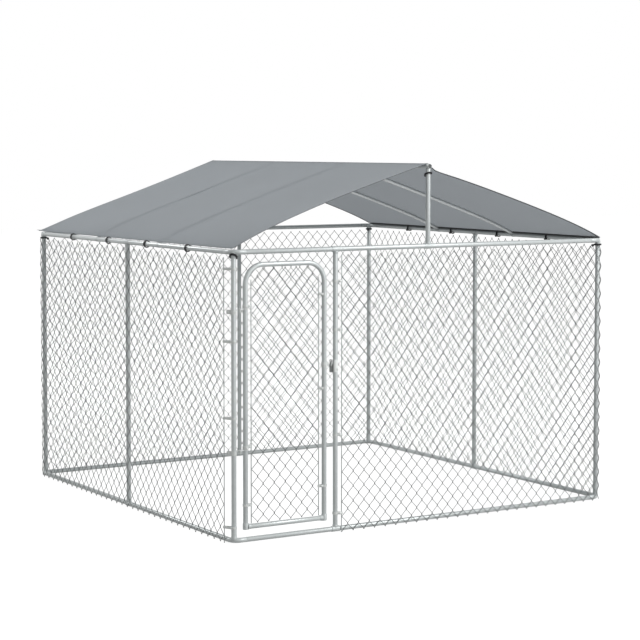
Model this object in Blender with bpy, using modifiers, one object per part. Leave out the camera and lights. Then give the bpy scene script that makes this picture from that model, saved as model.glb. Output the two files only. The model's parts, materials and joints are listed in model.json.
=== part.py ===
"""Walk-in chain-link kennel with a gabled canopy, in metres.

+Z is up and the ground is z = 0. The origin is under the middle of the plan, +X runs along the front and the front
faces -Y. The gate hangs at the left end of the front and opens outwards about the pins of its two hinges.
"""

import math

import bmesh
import bpy
from mathutils import Matrix, Vector

# Overall sizes, between tube axes
SPAN = 2.968
DEPTH = 2.968
WALL_RISE = 1.820
RIDGE_RISE = 0.528

# Tubes
TUBE_R = 0.016
TUBE_WALL = 0.0010
TUBE_SIDES = 12
RAFTER_R = 0.0125
RAFTER_Y = 0.480
RIDGE_OVERHANG = 0.020
GAP = 0.0003

# Fittings
ROD_RESOLUTION = 3
BEND_R = 0.055
BEND_STEPS = 4
LEG = 0.040
SPIGOT = 0.040
COLLAR_OVER_TUBE = 0.0015
FLARE_OVER_TUBE = 0.0035
FLARE_LOW = 0.006
FLARE_HIGH = 0.016
COLLAR_START = 0.030
LOW_NECK = 0.070
HIGH_NECK = 0.042
TEE_NECK = 0.030
SLEEVE_WALL = 0.0016
SLEEVE_LENGTH = 0.058
BAND_WALL = 0.0022

# Chain-link fabric: one lattice bar stands for COARSE woven wires
DIAMOND_W = 0.084
DIAMOND_H = 0.098
COARSE = 4
LATTICE_T = 0.0032
LATTICE_BAR = 0.0042
MESH_CLEARANCE = 0.0014
MESH_BELOW_RAIL = 0.018
KNUCKLE_DROP = 0.008
TENSION_BAR_W = 0.010
TENSION_BAR_T = 0.0055

# Places along the walls. The posts of the two sides stand in the middle.
BACK_MID_X = 0.234
POST_TO_LEFT_BAR = 0.060
LATCH_POST_TO_BAR = 0.0356

# Gate: its width between stile axes, and heights from the axis of the nearer rail
POST_TO_GATE = 0.0749
GATE_WIDTH = 0.583
GATE_TO_LATCH_POST = 0.0854
GATE_BOTTOM = 0.081
GATE_HEEL = 0.018
GATE_BELOW_RAIL = 0.082
GATE_BEND_R = 0.125
GATE_BEND_STEPS = 6
GATE_BAR_INSET = 0.0413
GATE_MESH_CORNER = 0.075
GATE_MESH_GAP = 0.002
LOWER_HINGE_RISE = 0.567
UPPER_HINGE_BELOW_RAIL = 0.361
HINGE_PIN_R = 0.005
HINGE_PIN_BELOW = 0.022
LUG_T = 0.005
LUG_HALF = 0.011
STRAP_H = 0.028
EAR_REACH = 0.026
EAR_HALF = 0.0045
EAR_TURN = math.radians(143)

# Latch: the share is the part of the free way between collar and keeper that lies behind the lever's hub
LATCH_RISE = 1.0647
LATCH_COLLAR_H = 0.080
LATCH_PLATE_T = 0.004
LATCH_PLATE_EDGE = 0.001
LATCH_PLATE_FOOT = 0.042
LATCH_PIVOT_SHARE = 0.36
LATCH_PIVOT_UP = 0.006
LATCH_PIVOT_R = 0.003
LATCH_HUB_R = 0.008
TONGUE_T = 0.0045
TONGUE_H = 0.009
EYE_R = 0.010
EYE_HOLE_R = 0.0052
EYE_UP = 0.034
KEEPER_H = 0.030
KEEPER_REACH = 0.012
KEEPER_CHEEK = 0.0025

# Canopy
CANOPY_T = 0.002
CANOPY_BOW = 0.034
CANOPY_BOW_POWER = 6
CANOPY_LIP = 0.010
CANOPY_SHORT = 0.006
CANOPY_CLEARANCE = 0.001
CANOPY_STEPS = 6

# Radii that follow: a bore clears the corners of the faceted tube in it
ROUND = 1 / math.cos(math.pi / TUBE_SIDES)
BORE_R = (TUBE_R + GAP) * ROUND
SPIGOT_R = (TUBE_R - TUBE_WALL) / ROUND - GAP
COLLAR_R = TUBE_R + COLLAR_OVER_TUBE
FLARE_R = TUBE_R + FLARE_OVER_TUBE
SLEEVE_R = BORE_R + SLEEVE_WALL
BAND_R = BORE_R + BAND_WALL
CUT_MARGIN = 0.01

# Heights and places that follow
HALF_X = SPAN / 2
HALF_Y = DEPTH / 2
LOW_Z = KNUCKLE_DROP + TUBE_R
HIGH_Z = LOW_Z + WALL_RISE
RIDGE_Z = HIGH_Z + RIDGE_RISE
POST_INSET = BEND_R * (1 - math.cos(math.radians(45)))
JOINT = BEND_R + LEG
MESH_OFFSET = SLEEVE_R + MESH_CLEARANCE + LATTICE_T / 2
MESH_TOP = HIGH_Z - TUBE_R - MESH_BELOW_RAIL
CANOPY_REST = SLEEVE_R + CANOPY_CLEARANCE
GATE_Y = -HALF_Y
GATE_LEFT_X = -HALF_X + POST_INSET + POST_TO_GATE
GATE_RIGHT_X = GATE_LEFT_X + GATE_WIDTH
GATE_LOW_Z = LOW_Z + GATE_BOTTOM
GATE_HIGH_Z = HIGH_Z - GATE_BELOW_RAIL
HINGE_PIN_X = GATE_LEFT_X - POST_TO_GATE / 2
HINGE_HEIGHTS = (("lower", LOW_Z + LOWER_HINGE_RISE), ("upper", HIGH_Z - UPPER_HINGE_BELOW_RAIL))
LATCH_POST_X = GATE_RIGHT_X + GATE_TO_LATCH_POST
LATCH_Z = LOW_Z + LATCH_RISE
LATCH_FREE = GATE_TO_LATCH_POST - 2 * BAND_R - KEEPER_REACH - 2 * LATCH_HUB_R
LATCH_PIVOT_REACH = BAND_R + LATCH_HUB_R + LATCH_PIVOT_SHARE * LATCH_FREE
FRONT_BAR_X = LATCH_POST_X + LATCH_POST_TO_BAR
LEFT_BAR_Y = -HALF_Y + POST_INSET + POST_TO_LEFT_BAR

for old in list(bpy.data.objects):
    bpy.data.objects.remove(old, do_unlink=True)

parts = bpy.data.collections.new("kennel")
cutters = bpy.data.collections.new("kennel_cutters")
for made in (parts, cutters):
    bpy.context.scene.collection.children.link(made)


def material(name, colour, roughness, metallic):
    made = bpy.data.materials.new(name)
    made.use_nodes = True
    shader = made.node_tree.nodes["Principled BSDF"]
    shader.inputs["Base Color"].default_value = (*colour, 1.0)
    shader.inputs["Roughness"].default_value = roughness
    shader.inputs["Metallic"].default_value = metallic
    return made


GALVANISED = (0.44, 0.47, 0.47)
FINISHES = {
    "tube": (GALVANISED, 0.38, 0.9),
    "fitting": ((0.40, 0.43, 0.43), 0.45, 0.9),
    "wire": ((0.34, 0.36, 0.36), 0.45, 0.9),
    "hardware": ((0.47, 0.49, 0.49), 0.35, 0.9),
    "canvas": ((0.28, 0.31, 0.33), 0.85, 0.0),
}


def finish(obj, kind):
    """Gives the object a material of its own in one of the finishes above."""
    obj.data.materials.clear()
    obj.data.materials.append(material(obj.name + "_" + kind, *FINISHES[kind]))


def place(name, data, kind, location=(0, 0, 0), turn=None):
    obj = bpy.data.objects.new(name, data)
    obj.location = location
    if turn is not None:
        obj.rotation_euler = turn.to_euler()
    parts.objects.link(obj)
    finish(obj, kind)
    return obj


def upright_to(direction):
    """The turn that takes the local +Z to this direction."""
    return Vector((0, 0, 1)).rotation_difference(Vector(direction).normalized()).to_matrix()


def smooth(mesh):
    mesh.shade_smooth()
    mesh.set_sharp_from_angle(angle=math.radians(35))


def tube(name, start, end):
    """A hollow tube between two points: its wall's section, turned about the axis."""
    start, end = Vector(start), Vector(end)
    length = (end - start).length
    inner = TUBE_R - TUBE_WALL
    section = [(TUBE_R, length), (TUBE_R, 0), (inner, 0), (inner, length)]
    mesh = bpy.data.meshes.new(name)
    mesh.from_pydata([(r, 0, z) for r, z in section], [(0, 1), (1, 2), (2, 3), (3, 0)], [])
    obj = place(name, mesh, "tube", start, upright_to(end - start))
    screw = obj.modifiers.new("turned", "SCREW")
    screw.steps = screw.render_steps = TUBE_SIDES
    screw.use_smooth_shade = True
    return obj


def rod_mesh(name, points, radii, capped=True):
    """A round rod through the points, with a radius at each. With no caps it is only the skin of a tube."""
    curve = bpy.data.curves.new(name, "CURVE")
    curve.dimensions = "3D"
    curve.bevel_depth = 1.0
    curve.bevel_resolution = ROD_RESOLUTION
    curve.use_fill_caps = capped
    spline = curve.splines.new("POLY")
    spline.points.add(len(points) - 1)
    for point, place_of, radius in zip(spline.points, points, radii):
        point.co = (*place_of, 1.0)
        point.radius = radius
    holder = bpy.data.objects.new(name, curve)
    cutters.objects.link(holder)
    graph = bpy.context.evaluated_depsgraph_get()
    mesh = bpy.data.meshes.new_from_object(holder.evaluated_get(graph))
    bpy.data.objects.remove(holder)
    weld(mesh)
    return mesh


def weld(mesh):
    shape = bmesh.new()
    shape.from_mesh(mesh)
    bmesh.ops.remove_doubles(shape, verts=shape.verts, dist=1e-5)
    bmesh.ops.recalc_face_normals(shape, faces=shape.faces)
    shape.to_mesh(mesh)
    shape.free()


def cylinder_mesh(name, start, end, radius):
    start, end = Vector(start), Vector(end)
    shape = bmesh.new()
    turn = Matrix.Translation((start + end) / 2) @ upright_to(end - start).to_4x4()
    bmesh.ops.create_cone(shape, cap_ends=True, segments=TUBE_SIDES, radius1=radius, radius2=radius,
                          depth=(end - start).length, matrix=turn)
    mesh = bpy.data.meshes.new(name)
    shape.to_mesh(mesh)
    shape.free()
    return mesh


def box_mesh(name, low, high):
    low, high = Vector(low), Vector(high)
    shape = bmesh.new()
    size = Matrix.Diagonal((*(high - low), 1))
    bmesh.ops.create_cube(shape, size=1, matrix=Matrix.Translation((low + high) / 2) @ size)
    mesh = bpy.data.meshes.new(name)
    shape.to_mesh(mesh)
    shape.free()
    return mesh


def helper(name, mesh):
    """A cutter or a shape to be joined: kept in its own collection, drawn as wire and never rendered."""
    obj = bpy.data.objects.new(name, mesh)
    obj.display_type = "WIRE"
    obj.hide_render = True
    cutters.objects.link(obj)
    return obj


def joined_and_cut(name, meshes, holes):
    """One mesh from the union of the first list, less the second."""
    base = helper(name + "_base", meshes[0])
    steps = [("UNION", mesh) for mesh in meshes[1:]] + [("DIFFERENCE", mesh) for mesh in holes]
    tools = []
    for number, (operation, mesh) in enumerate(steps):
        tool = helper(f"{name}_tool_{number}", mesh)
        tools.append(tool)
        boolean = base.modifiers.new(operation.lower(), "BOOLEAN")
        boolean.operation = operation
        boolean.object = tool
    graph = bpy.context.evaluated_depsgraph_get()
    made = bpy.data.meshes.new_from_object(base.evaluated_get(graph))
    made.name = name
    for used in [base, *tools]:
        bpy.data.objects.remove(used)
    smooth(made)
    return made


def corner_fitting_mesh(name, neck_length, up):
    """Elbow between two rails with a socket for the post. Its legs leave the corner along +X and +Y."""
    spigot_end = JOINT + SPIGOT
    route = [(0, spigot_end, 0), (0, JOINT + GAP / 3, 0), (0, JOINT, 0)]
    for step in range(BEND_STEPS + 1):
        angle = math.radians(90) * step / BEND_STEPS
        route.append((BEND_R * (1 - math.cos(angle)), BEND_R * (1 - math.sin(angle)), 0))
    route += [(JOINT, 0, 0), (JOINT + GAP / 3, 0, 0), (spigot_end, 0, 0)]
    radii = [TUBE_R] * len(route)
    for end in (0, 1, -1, -2):
        radii[end] = SPIGOT_R
    elbow = rod_mesh(name + "_elbow", route, radii)
    heights = [-TUBE_R / 4, FLARE_LOW, FLARE_HIGH, COLLAR_START]
    heights += [neck_length, neck_length + GAP / 3, neck_length + SPIGOT]
    widths = [TUBE_R * 0.8, FLARE_R, FLARE_R, COLLAR_R, COLLAR_R, SPIGOT_R, SPIGOT_R]
    side = 1 if up else -1
    neck = rod_mesh(name + "_neck", [(POST_INSET, POST_INSET, side * height) for height in heights], widths)
    return joined_and_cut(name, [elbow, neck], [])


def tee_mesh(name, neck_length):
    """Sleeve round a rail that runs along X, with a socket that points up."""
    half = SLEEVE_LENGTH / 2
    sleeve = cylinder_mesh(name + "_sleeve", (-half, 0, 0), (half, 0, 0), SLEEVE_R)
    heights = [TUBE_R / 2, neck_length, neck_length + GAP / 3, neck_length + SPIGOT]
    widths = [COLLAR_R, COLLAR_R, SPIGOT_R, SPIGOT_R]
    neck = rod_mesh(name + "_neck", [(0, 0, height) for height in heights], widths)
    bore = cylinder_mesh(name + "_bore", (-half - CUT_MARGIN, 0, 0), (half + CUT_MARGIN, 0, 0), BORE_R)
    return joined_and_cut(name, [sleeve, neck], [bore])


def quarter_turns(count):
    return Matrix.Rotation(math.radians(90) * count, 3, "Z")


def make_rails():
    near, far = HALF_X - JOINT - GAP, HALF_Y - JOINT - GAP
    for level, height in (("bottom", LOW_Z), ("top", HIGH_Z)):
        for side, y in (("front", -HALF_Y), ("back", HALF_Y)):
            tube(f"{side}_{level}_rail", (-near, y, height), (near, y, height))
        for side, x in (("left", -HALF_X), ("right", HALF_X)):
            tube(f"{side}_{level}_rail", (x, -far, height), (x, far, height))


def make_corners():
    """Four corner posts, each between a low and a high fitting."""
    low_mesh = corner_fitting_mesh("low_corner_fitting", LOW_NECK, True)
    high_mesh = corner_fitting_mesh("high_corner_fitting", HIGH_NECK, False)
    corners = [("front_left", -1, -1), ("front_right", 1, -1), ("back_right", 1, 1), ("back_left", -1, 1)]
    for turns, (name, side_x, side_y) in enumerate(corners):
        x, y = side_x * HALF_X, side_y * HALF_Y
        post_x, post_y = x - side_x * POST_INSET, y - side_y * POST_INSET
        foot, head = LOW_Z + LOW_NECK + GAP, HIGH_Z - HIGH_NECK - GAP
        tube(f"{name}_post", (post_x, post_y, foot), (post_x, post_y, head))
        place(f"{name}_bottom_connector", low_mesh.copy(), "fitting", (x, y, LOW_Z), quarter_turns(turns))
        place(f"{name}_top_connector", high_mesh.copy(), "fitting", (x, y, HIGH_Z), quarter_turns(turns))


def make_middle_posts():
    """The latch post and the posts part way along the other walls, with a tee at each end."""
    along_x, along_y = quarter_turns(0), quarter_turns(1)
    over = Matrix.Rotation(math.radians(180), 3, "X")
    mesh = tee_mesh("tee", TEE_NECK)
    posts = [("latch", LATCH_POST_X, -HALF_Y, along_x), ("back_mid", BACK_MID_X, HALF_Y, along_x),
             ("left_mid", -HALF_X, 0, along_y), ("right_mid", HALF_X, 0, along_y)]
    for name, x, y, turn in posts:
        tube(f"{name}_post", (x, y, LOW_Z + TEE_NECK + GAP), (x, y, HIGH_Z - TEE_NECK - GAP))
        place(f"{name}_bottom_tee", mesh.copy(), "fitting", (x, y, LOW_Z), turn)
        place(f"{name}_top_tee", mesh.copy(), "fitting", (x, y, HIGH_Z), turn @ over)
    for side, y in (("front", -HALF_Y), ("back", HALF_Y)):
        place(f"{side}_ridge_tee", mesh.copy(), "fitting", (0, y, HIGH_Z), along_x)


def cope(obj, number, start, end):
    """Cuts the end of a tube to the round of the one that it meets, whose axis this is."""
    cut = obj.modifiers.new(f"coped_{number}", "BOOLEAN")
    cut.operation = "DIFFERENCE"
    cut.object = helper(f"{obj.name}_cope_{number}", cylinder_mesh("cope", start, end, BORE_R))


def make_roof_frame():
    reach = HALF_Y + RIDGE_OVERHANG
    tube("ridge_pole", (0, -reach, RIDGE_Z), (0, reach, RIDGE_Z))
    for side, y in (("front", -HALF_Y), ("back", HALF_Y)):
        post = tube(f"{side}_ridge_post", (0, y, HIGH_Z + TEE_NECK + GAP), (0, y, RIDGE_Z))
        cope(post, 1, (0, y - 2 * TUBE_R, RIDGE_Z), (0, y + 2 * TUBE_R, RIDGE_Z))
    for side, side_x in (("left", -1), ("right", 1)):
        for depth, y in (("front", -RAFTER_Y), ("back", RAFTER_Y)):
            make_rafter(f"{side}_{depth}_rafter", side_x, y)


def canopy_slope():
    """Points (out, z) on the underside of one slope, from over the ridge pole to over the top rail."""
    eave = HIGH_Z + CANOPY_REST
    pitch = math.atan2(RIDGE_Z + TUBE_R - eave, HALF_X)
    crown = RIDGE_Z + (TUBE_R + 2 * GAP) / math.cos(pitch)
    slope = []
    for step in range(CANOPY_STEPS + 1):
        share = step / CANOPY_STEPS
        bow = CANOPY_BOW * share * (1 - share ** CANOPY_BOW_POWER)
        slope.append((HALF_X * share, crown + (eave - crown) * share + bow))
    return slope


def make_rafter(name, side_x, y):
    """A tube that follows the underside of the canopy, its ends coped to the ridge pole and the top rail."""
    slope = canopy_slope()
    drop = RAFTER_R + 2 * GAP
    points = []
    for step, (out, z) in enumerate(slope):
        before, after = slope[max(step - 1, 0)], slope[min(step + 1, CANOPY_STEPS)]
        lean = math.atan2(before[1] - after[1], after[0] - before[0])
        points.append(Vector((side_x * (out - drop * math.sin(lean)), y, z - drop * math.cos(lean))))
    points[0] = at_distance(points[0], points[1], side_x, TUBE_R / 2)
    points[-1] = at_distance(points[-1], points[-2], side_x, HALF_X - TUBE_R / 4)
    rafter = bent_tube(name, points, RAFTER_R)
    for number, (x, z) in enumerate(((0, RIDGE_Z), (side_x * HALF_X, HIGH_Z))):
        cope(rafter, number, (x, y - 2 * TUBE_R, z), (x, y + 2 * TUBE_R, z))


def at_distance(start, end, side_x, out):
    """The point on the line through two points that is this far from the middle of the plan."""
    return start.lerp(end, (side_x * out - start.x) / (end.x - start.x))


def bent_tube(name, points, radius):
    """An open-ended tube along the points, with its wall inside the given radius."""
    skin = rod_mesh(name, points, [radius] * len(points), capped=False)
    smooth(skin)
    obj = place(name, skin, "tube")
    wall = obj.modifiers.new("wall", "SOLIDIFY")
    wall.thickness = TUBE_WALL
    wall.offset = -1
    return obj


def make_canopy():
    """One sheet over the ridge pole and both slopes, ending just past the axes of the side rails."""
    slope = canopy_slope()
    slope.append((HALF_X + CANOPY_LIP, slope[-1][1]))
    section = [(-out, z) for out, z in slope[:0:-1]] + slope
    reach = HALF_Y - CANOPY_SHORT
    shape = bmesh.new()
    front = [shape.verts.new((x, -reach, z)) for x, z in section]
    edges = [shape.edges.new(pair) for pair in zip(front, front[1:])]
    moved = bmesh.ops.extrude_edge_only(shape, edges=edges)["geom"]
    corners = [v for v in moved if isinstance(v, bmesh.types.BMVert)]
    bmesh.ops.translate(shape, verts=corners, vec=(0, 2 * reach, 0))
    bmesh.ops.recalc_face_normals(shape, faces=shape.faces)
    if sum(face.normal.z for face in shape.faces) < 0:
        bmesh.ops.reverse_faces(shape, faces=shape.faces)
    mesh = bpy.data.meshes.new("canopy")
    shape.to_mesh(mesh)
    shape.free()
    obj = place("canopy", mesh, "canvas")
    sheet = obj.modifiers.new("cloth thickness", "SOLIDIFY")
    sheet.thickness = CANOPY_T
    sheet.offset = 1


def clipped(polygon, point, inward):
    """The part of a convex polygon on the inward side of a line."""
    kept = []
    for start, end in zip(polygon, polygon[1:] + polygon[:1]):
        near, far = (start - point).dot(inward), (end - point).dot(inward)
        if near >= 0:
            kept.append(start)
        if near * far < 0:
            kept.append(start.lerp(end, near / (near - far)))
    return kept


def area_of(polygon):
    pairs = zip(polygon, polygon[1:] + polygon[:1])
    return abs(sum(a.x * b.y - b.x * a.y for a, b in pairs)) / 2


def lattice_curve(name, outline):
    """A flat lattice of diamonds inside a convex, counter-clockwise outline, standing in the local XY plane."""
    width, height = DIAMOND_W * COARSE, DIAMOND_H * COARSE
    lean = math.hypot(width, height)
    trim_x, trim_y = LATTICE_BAR / 2 * lean / height, LATTICE_BAR / 2 * lean / width
    half_w, half_h = width / 2 - trim_x, height / 2 - trim_y
    low = Vector((min(p.x for p in outline), min(p.y for p in outline)))
    high = Vector((max(p.x for p in outline), max(p.y for p in outline)))
    across, up = math.ceil((high.x - low.x) / width), math.ceil((high.y - low.y) / height)
    splines = [outline]
    for row in range(2 * up + 1):
        for column in range(2 * across + 1):
            if (row + column) % 2:
                continue
            middle = low + Vector((column * width / 2, row * height / 2))
            hole = [middle + Vector(v) for v in ((half_w, 0), (0, half_h), (-half_w, 0), (0, -half_h))]
            for start, end in zip(outline, outline[1:] + outline[:1]):
                edge = (end - start).normalized()
                inward = Vector((-edge.y, edge.x))
                hole = clipped(hole, start + inward * LATTICE_BAR, inward)
            if len(hole) > 2 and area_of(hole) > width * height / 100:
                splines.append(hole)
    curve = bpy.data.curves.new(name, "CURVE")
    curve.dimensions = "2D"
    curve.fill_mode = "BOTH"
    curve.extrude = LATTICE_T / 2
    for polygon in splines:
        spline = curve.splines.new("POLY")
        spline.points.add(len(polygon) - 1)
        spline.use_cyclic_u = True
        for point, corner in zip(spline.points, polygon):
            point.co = (corner.x, corner.y, 0, 1)
    return curve


def rectangle(width, height):
    return [Vector(v) for v in ((0, 0), (width, 0), (width, height), (0, height))]


def standing(turns):
    """Takes the lattice's XY plane upright, its X then turned by quarter turns about the vertical."""
    return quarter_turns(turns) @ Matrix.Rotation(math.radians(90), 3, "X")


def make_wall_fabric():
    """Chain link on the outside of the walls, in the four runs of one roll that ends beside the gate."""
    out_x, out_y = HALF_X + MESH_OFFSET, HALF_Y + MESH_OFFSET
    seam = LATTICE_T / 2 + GAP
    edge = TENSION_BAR_W / 2 + GAP
    left_start, front_start = LEFT_BAR_Y + edge, FRONT_BAR_X + edge
    runs = [
        ("left_mesh", out_y + LATTICE_T / 2 - left_start, (-out_x, left_start, 0), 1),
        ("back_mesh", 2 * (out_x - seam), (-out_x + seam, out_y, 0), 0),
        ("right_mesh", 2 * out_y + LATTICE_T, (out_x, -out_y - LATTICE_T / 2, 0), 1),
        ("front_mesh", out_x - seam - front_start, (front_start, -out_y, 0), 0),
    ]
    for name, width, corner, turns in runs:
        place(name, lattice_curve(name, rectangle(width, MESH_TOP)), "wire", corner, standing(turns))
    inner_x, inner_y = (half + MESH_OFFSET + LATTICE_T / 2 - TENSION_BAR_T / 2 for half in (HALF_X, HALF_Y))
    make_tension_bar("left_tension_bar", -inner_x, LEFT_BAR_Y, 0, MESH_TOP, quarter_turns(1))
    make_tension_bar("front_tension_bar", FRONT_BAR_X, -inner_y, 0, MESH_TOP, quarter_turns(0))


def make_tension_bar(name, x, y, low, high, turn):
    """A flat upright bar at the end of the fabric, its width along the local X."""
    corner = Vector((TENSION_BAR_W / 2, TENSION_BAR_T / 2, 0))
    place(name, box_mesh(name, -corner, corner + Vector((0, 0, high - low))), "hardware", (x, y, low), turn)


def make_gate():
    low, high = GATE_LOW_Z, GATE_HIGH_Z
    bend_z = high - GATE_BEND_R
    route = [Vector((GATE_LEFT_X, GATE_Y, low - GATE_HEEL))]
    for side_x, x in ((-1, GATE_LEFT_X + GATE_BEND_R), (1, GATE_RIGHT_X - GATE_BEND_R)):
        for step in range(GATE_BEND_STEPS + 1):
            share = step / GATE_BEND_STEPS if side_x < 0 else 1 - step / GATE_BEND_STEPS
            angle = math.radians(90) * share
            across, rise = math.cos(angle) * GATE_BEND_R, math.sin(angle) * GATE_BEND_R
            route.append(Vector((x + side_x * across, GATE_Y, bend_z + rise)))
    route.append(Vector((GATE_RIGHT_X, GATE_Y, low - GATE_HEEL)))
    bent_tube("gate_frame", route, TUBE_R)
    rail = tube("gate_bottom_rail", (GATE_LEFT_X, GATE_Y, low), (GATE_RIGHT_X, GATE_Y, low))
    for number, x in enumerate((GATE_LEFT_X, GATE_RIGHT_X)):
        cope(rail, number, (x, GATE_Y, low - 2 * TUBE_R), (x, GATE_Y, low + 2 * TUBE_R))
    left, right = GATE_LEFT_X + GATE_BAR_INSET, GATE_RIGHT_X - GATE_BAR_INSET
    edge = TENSION_BAR_W / 2 + GAP
    foot, top = low + TUBE_R + GATE_MESH_GAP, high - TUBE_R - GATE_MESH_GAP
    width, height = right - left - 2 * edge, top - foot
    cut = GATE_MESH_CORNER
    outline = [Vector(v) for v in ((0, 0), (width, 0), (width, height - cut), (width - cut, height),
                                   (cut, height), (0, height - cut))]
    place("gate_mesh", lattice_curve("gate_mesh", outline), "wire", (left + edge, GATE_Y, foot), standing(0))
    for name, x in (("gate_left_tension_bar", left), ("gate_right_tension_bar", right)):
        make_tension_bar(name, x, GATE_Y, foot, top - cut, quarter_turns(0))


def strap_mesh(name, middle, height, lug_low, lug_high, lug_start, lug_end, more, holes):
    """A band round a tube at the origin, with a lug along X between two places."""
    band = cylinder_mesh(name + "_band", (0, 0, middle - height / 2), (0, 0, middle + height / 2), BAND_R)
    lug = box_mesh(name + "_lug", (lug_start, -LUG_HALF, lug_low), (lug_end, LUG_HALF, lug_high))
    bore = cylinder_mesh(name + "_bore", (0, 0, middle - height), (0, 0, middle + height), BORE_R)
    return joined_and_cut(name, [band, lug, *more], [bore, *holes])


def make_hinges():
    """Each hinge: a strap on the post with a holed lug, and above it one on the gate with a pin through it."""
    post_x, post_y = -HALF_X + POST_INSET, -HALF_Y + POST_INSET
    hole_r = (HINGE_PIN_R + GAP) * ROUND
    for level, z in HINGE_HEIGHTS:
        reach = HINGE_PIN_X - post_x
        aside = GATE_Y - post_y
        hole = cylinder_mesh("hinge_hole", (reach, aside, -STRAP_H), (reach, aside, STRAP_H), hole_r)
        nose = cylinder_mesh("hinge_nose", (reach, aside, -LUG_T), (reach, aside, 0), LUG_HALF)
        ear = box_mesh("hinge_ear", (TUBE_R, -EAR_HALF, -STRAP_H), (BAND_R + EAR_REACH, EAR_HALF, 0))
        ear.transform(Matrix.Rotation(EAR_TURN, 4, "Z"))
        mesh = strap_mesh(f"{level}_post_strap", -STRAP_H / 2, STRAP_H, -LUG_T, 0, TUBE_R / 2, reach,
                          [nose, ear], [hole])
        place(f"{level}_hinge_post_strap", mesh, "hardware", (post_x, post_y, z))
        reach = HINGE_PIN_X - GATE_LEFT_X
        pin = cylinder_mesh("hinge_pin", (reach, 0, -HINGE_PIN_BELOW), (reach, 0, LUG_T + GAP), HINGE_PIN_R)
        nose = cylinder_mesh("gate_nose", (reach, 0, GAP), (reach, 0, GAP + LUG_T), LUG_HALF)
        mesh = strap_mesh(f"{level}_gate_strap", GAP + STRAP_H / 2, STRAP_H, GAP, GAP + LUG_T,
                          reach, -TUBE_R / 2, [nose, pin], [])
        place(f"{level}_hinge_gate_strap", mesh, "hardware", (GATE_LEFT_X, GATE_Y, z))


def make_latch():
    """A collar on the latch post carries a lever, whose tongue drops into an open keeper on the gate."""
    half = LATCH_COLLAR_H / 2
    plate_front = GAP / 2
    plate_back = plate_front + LATCH_PLATE_T
    pivot_x = -LATCH_PIVOT_REACH
    plate_end = pivot_x - LATCH_HUB_R - LATCH_PLATE_EDGE
    collar = cylinder_mesh("collar_band", (0, 0, -half), (0, 0, half), BAND_R)
    plate = box_mesh("collar_plate", (plate_end, plate_front, -LATCH_PLATE_FOOT),
                     (-TUBE_R, plate_back, LATCH_PIVOT_UP + LATCH_HUB_R))
    neck_half = EYE_R * 0.6
    neck = box_mesh("eye_neck", (pivot_x - neck_half, plate_front, 0), (pivot_x + neck_half, plate_back, EYE_UP))
    eye = cylinder_mesh("eye", (pivot_x, plate_front, EYE_UP), (pivot_x, plate_back, EYE_UP), EYE_R)
    stud = cylinder_mesh("stud", (pivot_x, plate_back - GAP, LATCH_PIVOT_UP),
                         (pivot_x, plate_front - TONGUE_T - 4 * GAP, LATCH_PIVOT_UP), LATCH_PIVOT_R)
    bore = cylinder_mesh("collar_bore", (0, 0, -2 * half), (0, 0, 2 * half), BORE_R)
    eye_hole = cylinder_mesh("eye_hole", (pivot_x, plate_front - CUT_MARGIN, EYE_UP),
                             (pivot_x, plate_back + CUT_MARGIN, EYE_UP), EYE_HOLE_R)
    mesh = joined_and_cut("latch_collar", [collar, plate, neck, eye, stud], [bore, eye_hole])
    place("latch_collar", mesh, "hardware", (LATCH_POST_X, -HALF_Y, LATCH_Z))

    tongue_back = plate_front - 2 * GAP
    tongue_front = tongue_back - TONGUE_T
    hub = cylinder_mesh("hub", (0, tongue_front, 0), (0, tongue_back, 0), LATCH_HUB_R)
    length = LATCH_POST_X + pivot_x - GATE_RIGHT_X - BAND_R - 2 * GAP
    tongue = box_mesh("tongue", (-length, tongue_front, -TONGUE_H / 2), (0, tongue_back, TONGUE_H / 2))
    pivot_hole = cylinder_mesh("pivot_hole", (0, tongue_front - CUT_MARGIN, 0),
                               (0, tongue_back + CUT_MARGIN, 0), (LATCH_PIVOT_R + GAP) * ROUND)
    mesh = joined_and_cut("latch_lever", [hub, tongue], [pivot_hole])
    place("latch_lever", mesh, "hardware", (LATCH_POST_X + pivot_x, -HALF_Y, LATCH_Z + LATCH_PIVOT_UP))

    floor = LATCH_PIVOT_UP - TONGUE_H / 2 - GAP
    reach = BAND_R + KEEPER_REACH
    middle = floor - KEEPER_CHEEK + KEEPER_H / 2
    cradle = box_mesh("cradle", (TUBE_R, tongue_front - GAP - KEEPER_CHEEK, floor - KEEPER_CHEEK),
                      (reach, tongue_back + GAP + KEEPER_CHEEK, floor - KEEPER_CHEEK + KEEPER_H))
    band = cylinder_mesh("keeper_band", (0, 0, middle - KEEPER_H / 2), (0, 0, middle + KEEPER_H / 2), BAND_R)
    slot = box_mesh("keeper_slot", (BAND_R, tongue_front - GAP, floor),
                    (2 * reach, tongue_back + GAP, floor + KEEPER_H))
    bore = cylinder_mesh("keeper_bore", (0, 0, middle - KEEPER_H), (0, 0, middle + KEEPER_H), BORE_R)
    mesh = joined_and_cut("latch_keeper", [band, cradle], [slot, bore])
    place("latch_keeper", mesh, "hardware", (GATE_RIGHT_X, GATE_Y, LATCH_Z))


def hang_gate():
    """Carries every piece of the gate, and what cuts them, on an empty whose Z axis is the hinge pins'."""
    axis = bpy.data.objects.new("hinge_axis", None)
    axis.location = (HINGE_PIN_X, GATE_Y, 0)
    parts.objects.link(axis)
    for obj in [*parts.objects, *cutters.objects]:
        if obj.name.startswith(("gate_", "lower_hinge_gate", "upper_hinge_gate", "latch_keeper")):
            obj.parent = axis
            obj.location -= axis.location


make_rails()
make_corners()
make_middle_posts()
make_roof_frame()
make_canopy()
make_wall_fabric()
make_gate()
make_hinges()
make_latch()
hang_gate()
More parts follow.
